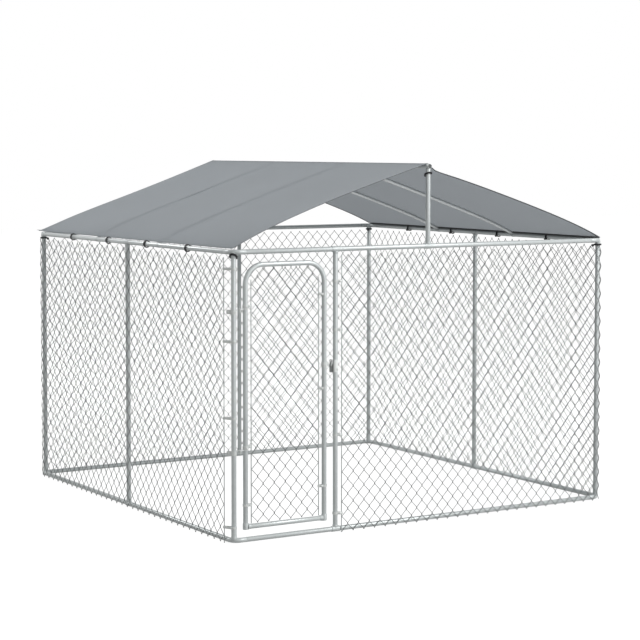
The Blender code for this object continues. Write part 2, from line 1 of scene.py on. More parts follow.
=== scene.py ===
"""Looks of a walk-in pet kennel: galvanised tube, woven chain link and a stretched canvas canopy.

Lengths are in metres. +Z is up, +X runs to the right along the front and +Y to the back.
"""
import json
import math

import bmesh
import bpy
import numpy as np
from mathutils import Matrix, Vector, noise


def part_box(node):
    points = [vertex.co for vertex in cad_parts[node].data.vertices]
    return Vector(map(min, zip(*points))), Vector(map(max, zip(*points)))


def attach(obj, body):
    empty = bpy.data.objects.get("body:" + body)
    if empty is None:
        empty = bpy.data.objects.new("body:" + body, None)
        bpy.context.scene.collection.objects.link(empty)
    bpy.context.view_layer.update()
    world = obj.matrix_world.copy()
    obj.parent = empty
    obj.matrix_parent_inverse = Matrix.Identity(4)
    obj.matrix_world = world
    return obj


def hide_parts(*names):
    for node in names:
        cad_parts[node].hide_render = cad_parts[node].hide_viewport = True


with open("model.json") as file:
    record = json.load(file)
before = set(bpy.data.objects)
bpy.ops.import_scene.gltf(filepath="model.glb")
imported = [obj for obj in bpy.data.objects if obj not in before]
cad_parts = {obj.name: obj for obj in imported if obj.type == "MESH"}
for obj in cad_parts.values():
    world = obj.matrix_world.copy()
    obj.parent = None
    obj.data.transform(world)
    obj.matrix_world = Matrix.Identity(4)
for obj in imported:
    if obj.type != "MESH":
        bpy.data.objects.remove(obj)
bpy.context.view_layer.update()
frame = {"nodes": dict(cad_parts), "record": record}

RIGHTWARD = Vector((1, 0, 0))
BACKWARD = Vector((0, 1, 0))
FRONTWARD = Vector((0, -1, 0))
UP = Vector((0, 0, 1))

# Tubes and their fittings

TUBE_R = 0.016
TUBE_WALL = 0.0016
TUBE_SIDES = 28
EDGE_ROUND = 0.0006
RAFTER_R = 0.0125
RAFTER_STEPS = 24
RAFTER_START = 0.0145
RAFTER_END_GAP = 0.001
BEND_STEPS = 12
BEND_R = 0.055
GATE_BEND_R = 0.125
ELBOW_ARM = 0.0947
POST_INSET = 0.01611
LOW_NECK = 0.070
HIGH_NECK = 0.042
COLLAR_R = 0.0175
FLARE_R = 0.0195
SLEEVE_R = 0.0185
SLEEVE_HALF = 0.029
SLEEVE_GAP = 0.0001
SOCKET_WALL = 0.0014
SOCKET_END = 0.030
WELD_SINK = 0.0012
WELD_R = 0.0014
GATE_SLEEVE_WALL = 0.0009

# Each section below is a list of (distance along its axis, radius)
FLARED_SOCKET = [(-0.002, 0.0150), (0.004, 0.0188), (0.008, FLARE_R), (0.015, FLARE_R),
                 (0.020, 0.0188), (0.027, 0.0177), (0.032, COLLAR_R)]
TEE_SOCKET = [(0.012, COLLAR_R), (0.0185, COLLAR_R + 0.0012), (0.0205, COLLAR_R),
              (SOCKET_END - EDGE_ROUND, COLLAR_R), (SOCKET_END, COLLAR_R - EDGE_ROUND)]
GATE_RAIL_NECK = [(0.014, 0.0200), (0.020, 0.0188), (0.027, 0.0178), (0.034, 0.0172), (0.0346, 0.0165)]
POLE_PLUG = [(0.0012, 0.0100), (0.0016, 0.0128), (0.0030, 0.0142), (0.0120, 0.0142)]

# Chain link

WIRE_R = 0.0020
WIRE_SIDES = 6
WEAVE_PITCH = 0.042
WEAVE_DEPTH = 0.0019
WEAVE_HOOK = 0.0025
HOOK_INSET = 0.0013
KNUCKLE_LEAN = 0.3
# The bent-over end of a wire, as (distance past its outermost line, distance past its end)
KNUCKLE = [(-0.0066, -0.0090), (-0.0046, -0.0030), (-0.0016, -0.0003), (0.0014, -0.0003)]
WALL_HALF_TURNS = 37
WALL_WEAVE_OFFSET = 0.0225
WALL_WEAVE_FOOT = 0.0052
WEAVE_MARGIN = 0.0030
GATE_WIRES = 12
GATE_HALF_TURNS = 33

# Flat bars, bands and bolts, each bolt's head or nut as (radius, height)

BAR_W = 0.0070
BAR_T = 0.0032
BAR_ROUND = 0.0008
BAND_R = 0.0191
BAND_H = 0.016
BAND_PLATE = 0.0024
BAND_GAP = 0.0002
BAND_EDGE = 0.0004
BAND_GRIP = 0.00275
BAND_TAIL = 0.006
BAND_BOLT_AT = 0.52
INNER_STRAP_START = 0.25
BAND_HEAD = (0.0072, 0.0036)
BAND_NUT = (0.0062, 0.005)
HINGE_HEAD = (0.0078, 0.004)
HINGE_NUT = (0.0066, 0.0055)
LATCH_HEAD = (0.0078, 0.0042)
LATCH_NUT = (0.0064, 0.0055)
PIVOT_HEAD = (0.0050, 0.0024)
CLAMP_HEAD = (0.006, 0.003)
CLAMP_HALF = 0.009
CLAMP_T = 0.0016
CLAMP_STUB = (0.026, 0.018, 0.004)

# Heights of the brace bands as shares of the walls' rise, the highest band first
LEFT_WALL_BANDS = (0.9417, 0.6905, 0.4241, 0.0431)
FRONT_WALL_BANDS = (0.886, 0.714, 0.3376, 0.0563)
GATE_RIGHT_BANDS = (0.8425, 0.5084, 0.1597)
GATE_LEFT_BANDS = (0.8122, 0.3236, 0.12)

# Canopy

CANOPY_T = 0.0014
CANOPY_CELLS = 96
CANOPY_BOW = 0.034
CANOPY_BOW_POWER = 6
CLOTH_GAP = 0.0006
EAVE_LIFT = 0.019475
GABLE_SHORT = 0.006
POLE_ROUND_R = TUBE_R + CLOTH_GAP
HEM_W = 0.028
HEM_STEP = 0.0011
STITCH_INSET = 0.004
CLOTH_GLOW = 0.45
CORNER_W = 0.16
EAVE_EDGE = -0.001
# How far each corner of the cloth is drawn out past its eave, by the signs of x and y
CORNER_TIPS = {(-1, -1): -0.005, (1, -1): 0.004, (1, 1): 0.014, (-1, 1): 0.040}
BACK_LEFT_CORNER_LIFT = 0.007
RIDGE_REACH = 0.016
RIDGE_REACH_WIDTH = 0.35
SAG = 0.007
RAFTER_SOFTNESS = 0.035
GABLE_WIDTH = 0.45
FRONT_RIGHT_DROP = 0.038
BACK_RIGHT_DROP = 0.020
FRONT_LEFT_BULGE = 0.019
BACK_LEFT_BULGE = -0.010
WRINKLE_HEIGHT = 0.0022
WRINKLE_AHEAD = 0.05
WRINKLE_WIDTH = 0.075
RIPPLE_HEIGHT = 0.0022
FINE_RIPPLE_HEIGHT = 0.0007

# Binding, elastic loops and balls

BINDING_CELLS = 48
BINDING_EAVE_INSET = 0.0140
BINDING_GABLE_INSET = 0.0035
BINDING_EAVE_TOP = 0.0246
# On the right half the dark binding is drawn thicker than on the left: partly the real binding, partly a
# dark band standing in for the shade under the hem.
RIGHT_EAVE_BINDING_AND_SHADE_R = 0.0062
RIGHT_GABLE_BINDING_AND_SHADE_R = 0.0026
LEFT_BINDING_R = 0.0013
CORD_SIDES = 8
RAIL_CORD_R = 0.0037
POST_LOOP_R = 0.0240
# How far a post's loop hangs under its rail or the ridge, how far its outside is raised,
# and the radius of its cord
GATE_CORNER_LOOP = (0.042, 0.026, 0.0040)
CORNER_LOOP = (0.033, 0.0, 0.0030)
RIDGE_LOOP = (0.058, 0.014, 0.0030)
BALL_R = 0.0095
TIE_SHARES = (0.2, 0.4, 0.6, 0.8)

# Studio

FLOOR_HALF = 40
FLOOR_ALBEDO = 0.26
FLOOR_GLOW = 0.885
SKY_LIGHT = 0.48
SKY_SEEN = 1.0
LAMP_AIM = Vector((0, 0, 1))
# Name, place, size and power
LAMPS = (("key", (5.5, -9.5, 8.5), 3.0, 930),
         ("rim", (-6, 8, 8), 3.0, 620),
         ("fill", (4.0, -11.0, 2.0), 7.0, 380))
CAMERA_AT = (-7.281, -11.875, 2.508)
CAMERA_DOWN_DEG = 3.69
CAMERA_TURN_DEG = -31.21
CAMERA_LENS = 107.47
CAMERA_SHIFT = (0.03, -0.08)


def centre_of(node):
    low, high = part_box(node)
    return (low + high) / 2


# Places taken from the CAD pieces

HALF = -centre_of("left_bottom_rail").x
LOW_Z = centre_of("left_bottom_rail").z
HIGH_Z = centre_of("left_top_rail").z
RISE = HIGH_Z - LOW_Z
RIDGE_Z = centre_of("ridge_pole").z
POST_AT = HALF - POST_INSET
LATCH_X = centre_of("latch_post").x
GATE_Y = centre_of("gate_bottom_rail").y
GATE_LOW, GATE_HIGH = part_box("gate_frame")
GATE_LEFT_X = GATE_LOW.x + TUBE_R
GATE_RIGHT_X = GATE_HIGH.x - TUBE_R
RAFTER_Y = abs(centre_of("left_front_rafter").y)

PITCH = math.atan2(RIDGE_Z + TUBE_R - (HIGH_Z + EAVE_LIFT), HALF)
CUT_W = 2 * HALF / math.cos(PITCH)
CUT_L = 2 * (HALF - GABLE_SHORT)

WALL_FLAT = HALF - BEND_R
WALL_BEND = BEND_R + WALL_WEAVE_OFFSET
WALL_LAP = 2 * WALL_FLAT + WALL_BEND * math.pi / 2
QUARTER_TURN = [math.radians(90) * step / BEND_STEPS for step in range(BEND_STEPS + 1)]


# Finishes

class Value:
    """A number that changes over a surface, for use in ordinary arithmetic."""

    def __init__(self, nodes, socket):
        self.nodes = nodes
        self.socket = socket

    def math(self, operation, *terms):
        return self.nodes.node("ShaderNodeMath", {"operation": operation}, dict(enumerate(terms)))

    def __add__(self, other):
        return self.math("ADD", self, other)

    def __sub__(self, other):
        return self.math("SUBTRACT", self, other)

    def __rsub__(self, other):
        return self.math("SUBTRACT", other, self)

    def __mul__(self, other):
        return self.math("MULTIPLY", self, other)

    def __abs__(self):
        return self.math("ABSOLUTE", self)

    __radd__ = __add__
    __rmul__ = __mul__


class Nodes:
    """The nodes of one material or of the sky."""

    def __init__(self, tree):
        self.tree = tree

    def node(self, kind, settings, sockets, output=0):
        """Adds a node, with its settings first and then the values or links of its sockets."""
        made = self.tree.nodes.new(kind)
        for name, value in settings.items():
            setattr(made, name, value)
        for name, value in sockets.items():
            self.join(made.inputs[name], value)
        return Value(self, made.outputs[output])

    def join(self, socket, value):
        if isinstance(value, Value):
            self.tree.links.new(value.socket, socket)
        else:
            socket.default_value = value


class Finish(Nodes):
    """One procedural material, on Object coordinates unless a piece brings its own map."""

    def __init__(self, name, colour, roughness, metallic=0.0):
        self.material = bpy.data.materials.new(name)
        self.material.use_nodes = True
        self.material.diffuse_color = (*colour, 1)
        super().__init__(self.material.node_tree)
        self.shader = self.tree.nodes["Principled BSDF"]
        self.set("Base Color", (*colour, 1))
        self.set("Roughness", roughness)
        self.set("Metallic", metallic)
        self.place = self.node("ShaderNodeTexCoord", {}, {}, "Object")

    def set(self, socket, value):
        self.join(self.shader.inputs[socket], value)

    def part(self, vector, axis):
        return self.node("ShaderNodeSeparateXYZ", {}, {"Vector": vector}, axis)

    def stretched(self, scale):
        return self.node("ShaderNodeMapping", {}, {"Vector": self.place, "Scale": scale})

    def cloud(self, scale, detail, place=None):
        sockets = {"Vector": place or self.place, "Scale": scale, "Detail": detail}
        return self.node("ShaderNodeTexNoise", {}, sockets)

    def cells(self, scale):
        sockets = {"Vector": self.place, "Scale": scale}
        return self.node("ShaderNodeTexVoronoi", {}, sockets, "Color")

    def threads(self, direction, place, scale):
        settings = {"wave_type": "BANDS", "bands_direction": direction}
        return self.grey(self.node("ShaderNodeTexWave", settings, {"Vector": place, "Scale": scale}))

    def grey(self, colour):
        return self.node("ShaderNodeRGBToBW", {}, {"Color": colour})

    def band(self, value, low, high):
        """Rises smoothly from 0 to 1 between two levels of a value."""
        sockets = {"Value": value, "From Min": low, "From Max": high}
        return self.node("ShaderNodeMapRange", {"interpolation_type": "SMOOTHSTEP"}, sockets)

    def blend(self, share, first, second):
        ends = [end if isinstance(end, Value) else (*end, 1) for end in (first, second)]
        return self.node("ShaderNodeMix", {"data_type": "RGBA"}, {0: share, 6: ends[0], 7: ends[1]}, 2)

    def let_light_through(self, share, colour):
        """Thin cloth glows a little on the side away from the light."""
        behind = self.node("ShaderNodeBsdfTranslucent", {}, {"Color": (*colour, 1)})
        front = Value(self, self.shader.outputs["BSDF"])
        mixed = self.node("ShaderNodeMixShader", {}, {0: share, 1: front, 2: behind})
        self.join(self.tree.nodes["Material Output"].inputs["Surface"], mixed)

    def relief(self, height, depth, strength):
        sockets = {"Height": height, "Distance": depth, "Strength": strength}
        self.set("Normal", self.node("ShaderNodeBump", {}, sockets))


def shade_of(colour, factor):
    return tuple(level * factor for level in colour)


def edge_distance(place, size):
    """How far a place on the cut lies from the nearer of two opposite edges."""
    return place.math("MINIMUM", place, size - place)


def galvanised(name, colour, roughness, metallic, spangle, dulling):
    """Hot-dipped zinc: faint crystal spangle, cloudy dulling and fine pitting."""
    finish = Finish(name, colour, roughness, metallic)
    finish.set("Specular IOR Level", 0.3)
    crystals = finish.grey(finish.cells(spangle))
    clouds = finish.cloud(scale=7.0, detail=4.0)
    pits = finish.cloud(scale=900.0, detail=2.0)
    tone = finish.band(crystals * 0.3 + clouds * 0.7, low=0.3, high=0.7)
    bright = finish.blend(tone, shade_of(colour, 0.96), shade_of(colour, 1.04))
    dull = finish.band(finish.cloud(scale=2.3, detail=5.0), low=0.55, high=0.75) * dulling
    finish.set("Base Color", finish.blend(dull, bright, shade_of(colour, 0.86)))
    finish.set("Roughness", crystals * 0.04 + dull * 0.08 + (roughness - 0.02))
    finish.relief(pits + crystals * 0.1, depth=0.00005, strength=0.12)
    return finish.material


def canvas():
    """Woven cloth with stitched hems, slight fading and a pale band painted over each rafter, painted
    light that offsets the rafter's shadow through the cloth.
    """
    base = (0.218, 0.239, 0.257)
    finish = Finish("canopy_canvas", base, 0.85)
    cut = finish.node("ShaderNodeUVMap", {"uv_map": "cut"}, {})
    across, along = finish.part(cut, "X"), finish.part(cut, "Y")
    warp, weft = (finish.threads(direction, cut, scale=160.0) for direction in "XY")
    weave = warp * 0.5 + weft * 0.5
    fade = finish.cloud(scale=1.4, detail=4.0)
    slub = finish.cloud(scale=60.0, detail=3.0, place=finish.stretched((1.0, 6.0, 1.0)))
    tone = finish.band(fade * 0.65 + slub * 0.35, low=0.35, high=0.65)
    cloth = finish.blend(tone, shade_of(base, 0.96), shade_of(base, 1.05))
    # Painted light: the cloth is paler along each rafter, to cancel the shadow that the rafter casts
    # through the thin cloth.
    off_rafter = abs(abs(along - CUT_L / 2) - RAFTER_Y)
    rafter_shade_lift = 1 - finish.band(off_rafter, low=0.003, high=0.017)
    cloth = finish.blend(rafter_shade_lift, cloth, shade_of(base, 1.26))
    inset = across.math("MINIMUM", edge_distance(across, CUT_W), edge_distance(along, CUT_L))
    inner_row, outer_row = (1 - finish.band(abs(inset - distance), low=0.0008, high=0.0016)
                            for distance in (HEM_W - STITCH_INSET, STITCH_INSET))
    dashes = finish.band(across.math("SINE", (across + along) * 1400), low=-0.4, high=0.2)
    thread = (inner_row + outer_row) * dashes
    finish.set("Base Color", finish.blend(thread, cloth, shade_of(base, 0.62)))
    finish.set("Roughness", 0.80 + weave * 0.10)
    finish.relief(weave + thread * 1.5 + slub * 0.6, depth=0.0005, strength=0.5)
    finish.set("Sheen Weight", 0.15)
    finish.set("Sheen Roughness", 0.5)
    finish.let_light_through(CLOTH_GLOW, (0.745, 0.769, 0.788))
    return finish.material


def latch_steel():
    """A bright clamp with a plate welded to its side, the plate painted dark as shade."""
    # The plate's dark colour is painted shade, for the side of the clamp turned from the light.
    bright, plate_shade = (0.80, 0.82, 0.81), (0.10, 0.106, 0.106)
    finish = Finish("latch_steel", bright, 0.3, 0.2)
    plate_edge = LATCH_X - BAND_R
    plate = 1 - finish.band(finish.part(finish.place, "X"), plate_edge - 0.0005, plate_edge + 0.0015)
    grain = finish.cloud(scale=300.0, detail=3.0)
    clamp = finish.blend(grain, shade_of(bright, 0.95), shade_of(bright, 1.05))
    finish.set("Base Color", finish.blend(plate, clamp, plate_shade))
    finish.set("Roughness", 0.28 + grain * 0.10 + plate * 0.12)
    finish.relief(grain, depth=0.0001, strength=0.3)
    return finish.material


def speckled(name, colour, roughness, grain, depth):
    """Tape, elastic or moulded plastic with a fine grain."""
    finish = Finish(name, colour, roughness)
    speckle = finish.cloud(grain, detail=3.0)
    finish.set("Base Color", finish.blend(speckle, shade_of(colour, 0.8), shade_of(colour, 1.25)))
    finish.set("Roughness", roughness - 0.08 + speckle * 0.16)
    finish.relief(speckle, depth, strength=0.5)
    return finish.material


tube_zinc = galvanised("tube_zinc", (0.51, 0.54, 0.54), 0.33, 0.22, spangle=60.0, dulling=0.15)
# The rafters' zinc is a lighter copy of the tube zinc: painted light that lifts the rafters out of the
# canopy's shade.
rafter_lightened_zinc = galvanised("rafter_lightened_zinc", (0.60, 0.62, 0.62), 0.30, 0.55, spangle=60.0, dulling=0.15)
fitting_zinc = galvanised("fitting_zinc", (0.50, 0.53, 0.53), 0.38, 0.15, spangle=60.0, dulling=0.25)
wire_zinc = galvanised("wire_zinc", (0.125, 0.134, 0.134), 0.42, 0.15, spangle=120.0, dulling=0.4)
bar_zinc = galvanised("bar_zinc", (0.42, 0.44, 0.44), 0.40, 0.15, spangle=90.0, dulling=0.4)
plated_steel = galvanised("plated_steel", (0.60, 0.62, 0.61), 0.28, 0.20, spangle=150.0, dulling=0.3)
# The latch lever's steel is painted dark as shade, for the shaded left side of the latch.
lever_shade_steel = galvanised("lever_shade_steel", (0.13, 0.138, 0.138), 0.42, 0.20, spangle=150.0, dulling=0.3)
canopy_canvas = canvas()
binding_tape = speckled("binding_tape", (0.045, 0.047, 0.05), 0.8, grain=500.0, depth=0.0003)
elastic = speckled("elastic_cord", (0.012, 0.012, 0.014), 0.85, grain=800.0, depth=0.0004)
ball_plastic = speckled("ball_plastic", (0.03, 0.03, 0.032), 0.45, grain=300.0, depth=0.0001)
plug_plastic = speckled("plug_plastic", (0.055, 0.06, 0.06), 0.55, grain=300.0, depth=0.0001)


# Shapes

def headings(stations):
    """Direction of travel at each station, halfway between the legs that meet there."""
    legs = [(after - before).normalized() for before, after in zip(stations, stations[1:])]
    inner = [(first + second).normalized() for first, second in zip(legs, legs[1:])]
    return [legs[0], *inner, legs[-1]]


def placed(stations, radii):
    """A ring's place and size at each station, facing along the line."""
    stations = [Vector(station) for station in stations]
    turn, heading, rings = Matrix.Identity(3), UP, []
    for station, radius, ahead in zip(stations, radii, headings(stations)):
        turn = heading.rotation_difference(ahead).to_matrix() @ turn
        heading = ahead
        size = Matrix.Diagonal((radius, radius, 1, 1))
        rings.append(Matrix.Translation(station) @ turn.to_4x4() @ size)
    return rings


def loft(shape, rings, sides):
    """Draws a circle through the rings, and gives the edges of its first and last places."""
    verts = bmesh.ops.create_circle(shape, segments=sides, radius=1, matrix=rings[0])["verts"]
    edges = list({edge for vert in verts for edge in vert.link_edges})
    first = edges
    for before, now in zip(rings, rings[1:]):
        grown = bmesh.ops.extrude_edge_only(shape, edges=edges)["geom"]
        verts = [item for item in grown if isinstance(item, bmesh.types.BMVert)]
        edges = [item for item in grown if isinstance(item, bmesh.types.BMEdge)]
        bmesh.ops.transform(shape, matrix=now @ before.inverted(), verts=verts)
    return first, edges


def add_bar(shape, stations, radii, sides):
    """A closed round bar along the stations."""
    for end in loft(shape, placed(stations, radii), sides):
        bmesh.ops.edgeloop_fill(shape, edges=end)


def add_tube(shape, stations, radii, wall=TUBE_WALL, sides=TUBE_SIDES):
    """A tube with open ends, drawn along its outside, back along its inside and joined up."""
    outer = placed(stations, radii)
    inner = placed(stations, [radius - wall for radius in radii])
    first, last = loft(shape, outer + inner[::-1] + outer[:1], sides)
    seam = list({vert for edge in first + last for vert in edge.verts})
    bmesh.ops.remove_doubles(shape, verts=seam, dist=0.00001)


def along_axis(start, axis, section):
    """Stations and radii of a (distance, radius) section along an axis."""
    stations = [Vector(start) + Vector(axis) * distance for distance, _ in section]
    return stations, [radius for _, radius in section]


def add_block(shape, centre, size, turn=None, round_by=0.0004):
    """A block with slightly rounded edges, turned about its middle."""
    matrix = Matrix.Translation(centre) @ (turn or Matrix.Identity(4))
    made = bmesh.ops.create_cube(shape, size=1)["verts"]
    bmesh.ops.transform(shape, matrix=matrix @ Matrix.Diagonal((*size, 1)), verts=made)
    edges = list({edge for vert in made for edge in vert.link_edges})
    bmesh.ops.bevel(shape, geom=edges, offset=round_by, affect="EDGES", segments=2,
                    profile=0.5, material=-1)


def add_head(shape, centre, axis, size):
    """A carriage bolt's round head, lying on a face that looks along the axis."""
    radius, height = size
    rim, steps, last_angle = 0.0004, 5, math.radians(84)
    section = [(0.0, radius)]
    for step in range(steps + 1):
        angle = last_angle * step / steps
        section.append((rim + height * math.sin(angle), radius * math.cos(angle)))
    add_bar(shape, *along_axis(centre, axis, section), sides=14)


def add_nut(shape, centre, axis, size):
    """A hexagon nut with the end of its bolt standing out of it."""
    radius, height = size
    chamfer, stand_out = 0.0006, 0.003
    nut = [(0, radius * 0.94), (0.0004, radius), (height - chamfer, radius), (height, radius * 0.9)]
    add_bar(shape, *along_axis(centre, axis, nut), sides=6)
    shank = [(height - 0.001, radius * 0.5), (height + stand_out, radius * 0.5)]
    add_bar(shape, *along_axis(centre, axis, shank), sides=10)


def add_ring(shape, centre, axis, section, sides=TUBE_SIDES):
    """A closed (radius, height) section spun once round an axis."""
    before = set(shape.verts)
    verts = [shape.verts.new((radius, 0, height)) for radius, height in section]
    edges = [shape.edges.new(pair) for pair in zip(verts, verts[1:] + verts[:1])]
    bmesh.ops.spin(shape, geom=verts + edges, cent=(0, 0, 0), axis=UP, angle=math.radians(360),
                   steps=sides, use_merge=True)
    ring = [vert for vert in shape.verts if vert not in before]
    turn = UP.rotation_difference(Vector(axis)).to_matrix().to_4x4()
    bmesh.ops.transform(shape, matrix=Matrix.Translation(centre) @ turn, verts=ring)


def band_section(outer, half):
    """Section of a sheet band round a tube, with its outer edges broken."""
    inner = TUBE_R + BAND_GAP
    return [(inner, -half), (outer - BAND_EDGE, -half), (outer, -half + BAND_EDGE),
            (outer, half - BAND_EDGE), (outer - BAND_EDGE, half), (inner, half)]


def finished(shape, name, body, material, stands_for=(), crease=35):
    """Turns a shape into a piece that rides on a body."""
    bmesh.ops.recalc_face_normals(shape, faces=shape.faces)
    mesh = bpy.data.meshes.new(name)
    shape.to_mesh(mesh)
    shape.free()
    mesh.shade_smooth()
    mesh.set_sharp_from_angle(angle=math.radians(crease))
    mesh.materials.append(material)
    piece = bpy.data.objects.new(name, mesh)
    bpy.context.scene.collection.objects.link(piece)
    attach(piece, body)
    if stands_for:
        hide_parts(*stands_for)
    return piece


# Tubes and fittings

def run_of(node):
    """Ends of the axis of a straight tube, from its box."""
    low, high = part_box(node)
    along = max(range(3), key=lambda axis: high[axis] - low[axis])
    start, end = (low + high) / 2, (low + high) / 2
    start[along], end[along] = low[along], high[along]
    return start, end


def add_frame_tube(shape, route):
    """A frame tube along a route, with its two mouths slightly rounded."""
    start, end, mouth = route[0], route[-1], TUBE_R - EDGE_ROUND / 2
    ahead = (route[1] - start).normalized() * EDGE_ROUND
    back = (route[-2] - end).normalized() * EDGE_ROUND
    stations = [start, start + ahead, *route[1:-1], end + back, end]
    add_tube(shape, stations, [mouth, *[TUBE_R] * len(route), mouth])


def straight_tube(node, start, end, body="kennel"):
    shape = bmesh.new()
    add_frame_tube(shape, [start, end])
    finished(shape, node + "_tube", body, tube_zinc, [node])


def make_straight_tubes():
    rails = [f"{side}_{level}_rail" for level in ("bottom", "top")
             for side in ("front", "back", "left", "right")]
    posts = [f"{place}_post" for place in ("front_left", "front_right", "back_right", "back_left",
                                           "latch", "back_mid", "left_mid", "right_mid")]
    for node in (*rails, *posts, "ridge_pole"):
        straight_tube(node, *run_of(node))
    for node in ("front_ridge_post", "back_ridge_post"):
        start, end = run_of(node)
        end.z = RIDGE_Z - TUBE_R + WELD_SINK
        straight_tube(node, start, end)


def corner_connector(name, quarter_turns, height, side, neck):
    """Elbow between two rails with a flared socket for the post, on the side that the post is."""
    bend = [Vector((1 - math.cos(angle), 1 - math.sin(angle), 0)) * BEND_R for angle in QUARTER_TURN]
    shape = bmesh.new()
    add_frame_tube(shape, [BACKWARD * ELBOW_ARM, *bend, RIGHTWARD * ELBOW_ARM])
    socket = FLARED_SOCKET + [(neck - EDGE_ROUND, COLLAR_R), (neck, COLLAR_R - EDGE_ROUND)]
    add_bar(shape, *along_axis((POST_INSET, POST_INSET, 0), UP * side, socket), TUBE_SIDES)
    turn = Matrix.Rotation(math.radians(90) * quarter_turns, 4, "Z")
    corner = Matrix.Translation((0, 0, height)) @ turn @ Matrix.Translation((-HALF, -HALF, 0))
    bmesh.ops.transform(shape, matrix=corner, verts=shape.verts)
    finished(shape, name + "_elbow", "kennel", fitting_zinc, [name])


def tee(name, along, height, side):
    """Sleeve round a rail, with a socket for the post on the side that the post is."""
    middle = centre_of(name)
    middle.z = height
    bore, half = TUBE_R + SLEEVE_GAP, SLEEVE_HALF
    shape = bmesh.new()
    section = [(SLEEVE_R, -half + EDGE_ROUND), (SLEEVE_R - EDGE_ROUND, -half), (bore, -half),
               (bore, half), (SLEEVE_R - EDGE_ROUND, half), (SLEEVE_R, half - EDGE_ROUND)]
    add_ring(shape, middle, along, section)
    add_tube(shape, *along_axis(middle, UP * side, TEE_SOCKET), SOCKET_WALL)
    finished(shape, name + "_sleeve", "kennel", fitting_zinc, [name])


def make_fittings():
    for turns, corner in enumerate(("front_left", "front_right", "back_right", "back_left")):
        corner_connector(f"{corner}_bottom_connector", turns, LOW_Z, 1, LOW_NECK)
        corner_connector(f"{corner}_top_connector", turns, HIGH_Z, -1, HIGH_NECK)
    for post, along in (("latch", RIGHTWARD), ("back_mid", RIGHTWARD),
                        ("left_mid", BACKWARD), ("right_mid", BACKWARD)):
        tee(f"{post}_bottom_tee", along, LOW_Z, 1)
        tee(f"{post}_top_tee", along, HIGH_Z, -1)
    for side in ("front", "back"):
        tee(f"{side}_ridge_tee", RIGHTWARD, HIGH_Z, 1)


def canopy_underside(out):
    """Height of the cloth's lower face at a distance from the ridge line, as the CAD sheet has it."""
    eave = HIGH_Z + EAVE_LIFT
    crown = RIDGE_Z + POLE_ROUND_R / math.cos(PITCH)
    share = min(out / HALF, 1.0)
    return crown + (eave - crown) * share + CANOPY_BOW * share * (1 - share ** CANOPY_BOW_POWER)


def make_rafters():
    """Tubes that follow the cloth's lower face from the ridge pole to the side rails."""
    drop, probe = RAFTER_R + CLOTH_GAP, 0.01
    reach = HALF - RAFTER_START - RAFTER_END_GAP
    for side, side_x in (("left", -1), ("right", 1)):
        for depth in ("front", "back"):
            name = f"{side}_{depth}_rafter"
            y = centre_of(name).y
            stations = []
            for step in range(RAFTER_STEPS + 1):
                out = RAFTER_START + reach * step / RAFTER_STEPS
                before, after = canopy_underside(out - probe), canopy_underside(out + probe)
                lean = math.atan2(before - after, 2 * probe)
                x = side_x * (out - drop * math.sin(lean))
                stations.append(Vector((x, y, canopy_underside(out) - drop * math.cos(lean))))
            shape = bmesh.new()
            add_tube(shape, stations, [RAFTER_R] * len(stations))
            # The rafters take the lightened zinc, painted light against the canopy's shade.
            finished(shape, name + "_tube", "kennel", rafter_lightened_zinc, [name])


def make_ridge_plugs():
    """A shallow plug closes each end of the ridge pole, a little inside its rim."""
    shape = bmesh.new()
    for end, inward in zip(run_of("ridge_pole"), (BACKWARD, FRONTWARD)):
        add_bar(shape, *along_axis(end, inward, POLE_PLUG), TUBE_SIDES)
    finished(shape, "ridge_pole_plugs", "kennel", plug_plastic)


def make_gate_frame():
    """One tube bent round the gate's two upper corners."""
    bend_z = GATE_HIGH.z - TUBE_R - GATE_BEND_R
    route = [Vector((GATE_LEFT_X, GATE_Y, GATE_LOW.z))]
    for side_x, bend_x, angles in ((-1, GATE_LEFT_X + GATE_BEND_R, QUARTER_TURN),
                                   (1, GATE_RIGHT_X - GATE_BEND_R, QUARTER_TURN[::-1])):
        for angle in angles:
            x = bend_x + side_x * math.cos(angle) * GATE_BEND_R
            route.append(Vector((x, GATE_Y, bend_z + math.sin(angle) * GATE_BEND_R)))
    shape = bmesh.new()
    add_frame_tube(shape, [*route, Vector((GATE_RIGHT_X, GATE_Y, GATE_LOW.z))])
    finished(shape, "gate_frame_tube", "gate", tube_zinc, ["gate_frame"])


def make_gate_rail():
    """The bottom rail with a weld bead round each end and a pressed sleeve on each foot."""
    start, end = run_of("gate_bottom_rail")
    start.x = GATE_LEFT_X + TUBE_R - WELD_SINK
    end.x = GATE_RIGHT_X - TUBE_R + WELD_SINK
    straight_tube("gate_bottom_rail", start, end, "gate")
    bead_r = TUBE_R + 0.0004
    corners = [math.radians(60) * step for step in range(6)]
    section = [(bead_r + WELD_R * math.cos(angle), WELD_R * math.sin(angle)) for angle in corners]
    beads = bmesh.new()
    for place in (start, end):
        add_ring(beads, place, RIGHTWARD, section)
    finished(beads, "gate_welds", "gate", fitting_zinc)
    foot, head = GATE_LOW.z + 0.0004, start.z + 0.024
    stile_sleeve = [(foot, TUBE_R + 0.0008), (foot + 0.0006, TUBE_R + 0.0024),
                    (head - 0.003, TUBE_R + 0.0024), (head, TUBE_R + 0.0010)]
    sleeves = bmesh.new()
    for inward, x in ((RIGHTWARD, GATE_LEFT_X), (-RIGHTWARD, GATE_RIGHT_X)):
        add_tube(sleeves, *along_axis((x, GATE_Y, 0), UP, stile_sleeve), GATE_SLEEVE_WALL)
        add_tube(sleeves, *along_axis((x, GATE_Y, start.z), inward, GATE_RAIL_NECK), GATE_SLEEVE_WALL)
    finished(sleeves, "gate_foot_sleeves", "gate", fitting_zinc)


# Chain link

